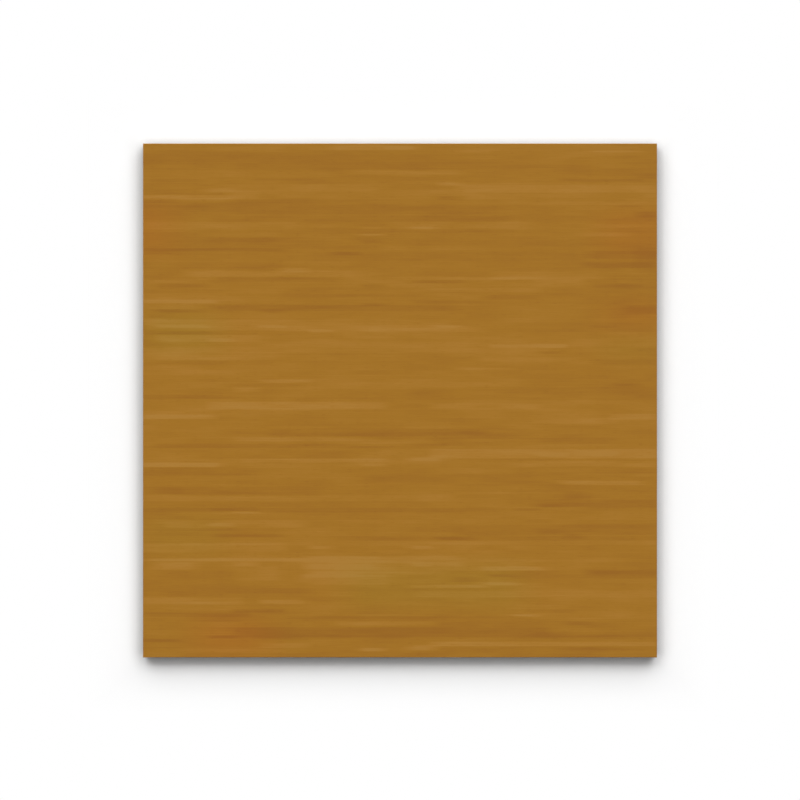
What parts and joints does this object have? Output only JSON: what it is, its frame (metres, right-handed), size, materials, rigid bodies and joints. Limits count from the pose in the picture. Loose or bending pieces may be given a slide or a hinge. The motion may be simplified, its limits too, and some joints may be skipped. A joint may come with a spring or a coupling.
{
  "type": "ceramic floor tile",
  "caption": "Square glazed ceramic floor tile with a wood-grain print, eased arrises, drafted sides and a keyed back that is bedded in adhesive.",
  "frame": {"origin": "under the middle of the tile, in the plane of the rib crests that it rests on", "axes": "+X along the printed grain, +Z out of the glazed face"},
  "size_m": [0.3, 0.3, 0.008],
  "materials": {
    "glazed_tile": "satin"
  },
  "bodies": {
    "root": {"floor_tile": "glazed_tile"}
  },
  "joints": []
}
